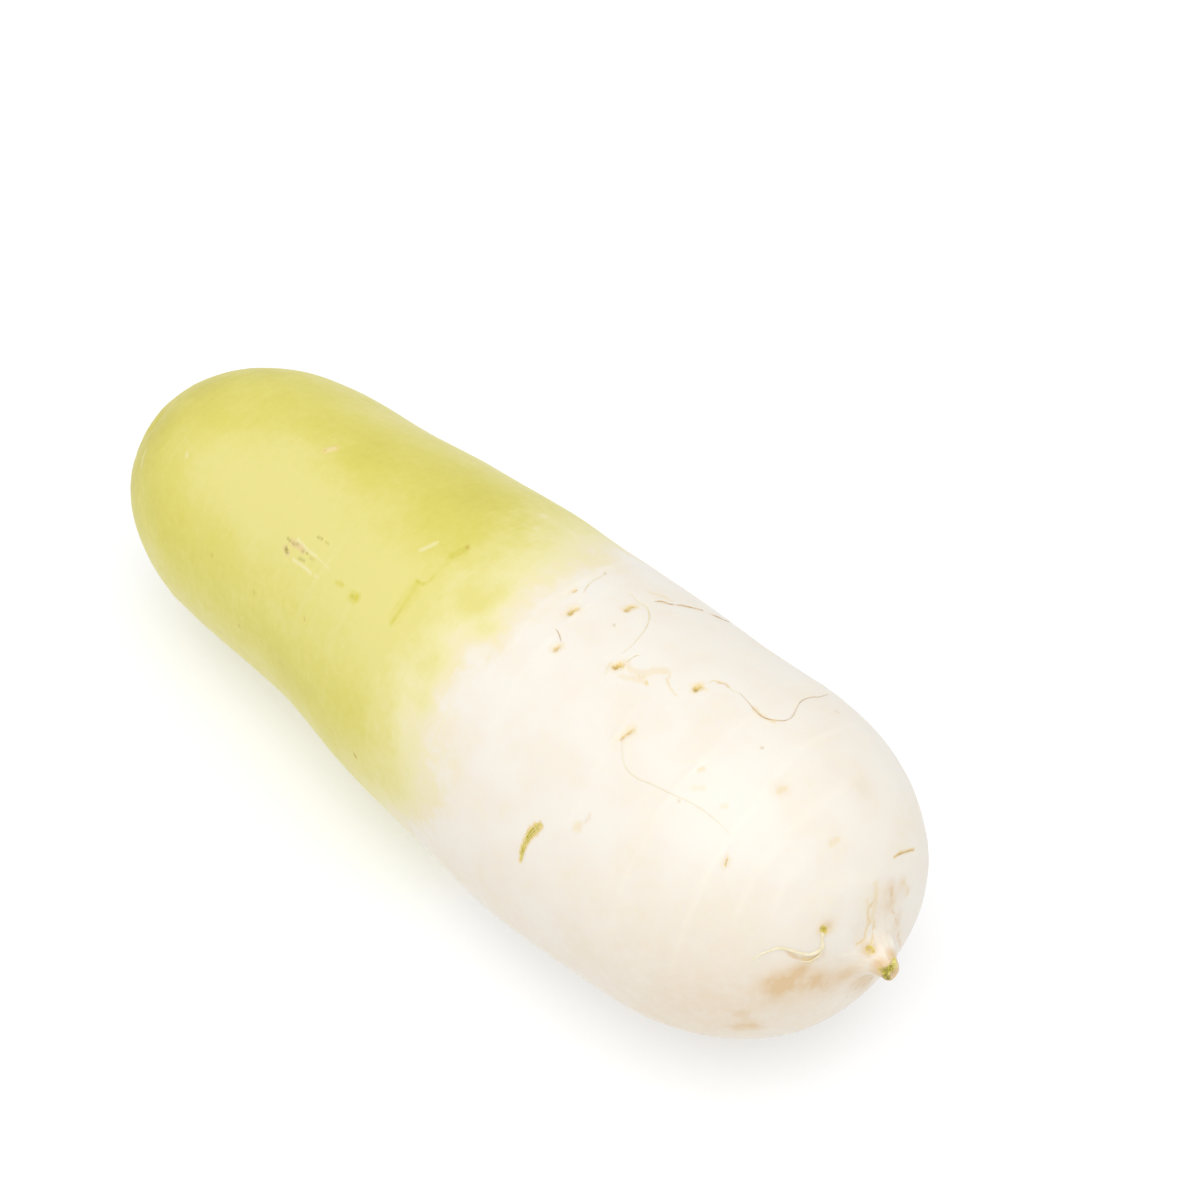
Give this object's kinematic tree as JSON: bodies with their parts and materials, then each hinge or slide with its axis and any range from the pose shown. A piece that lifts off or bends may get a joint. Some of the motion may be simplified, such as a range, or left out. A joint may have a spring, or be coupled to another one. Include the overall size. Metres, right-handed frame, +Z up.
{
  "type": "daikon radish",
  "caption": "Stout green-shouldered daikon radish, leaves cut off at the crown, lying on its side.",
  "frame": {"origin": "bottom centre of the bounding box, on the surface that the root lies on", "axes": "+X along the root from the cut crown to the tail, +Z up, +Y to the far side of the reference view"},
  "size_m": [0.2416, 0.084, 0.0844],
  "materials": {
    "skin": "smooth moist skin, waxy sheen"
  },
  "bodies": {
    "root": {"daikon_root": "skin"}
  },
  "joints": []
}
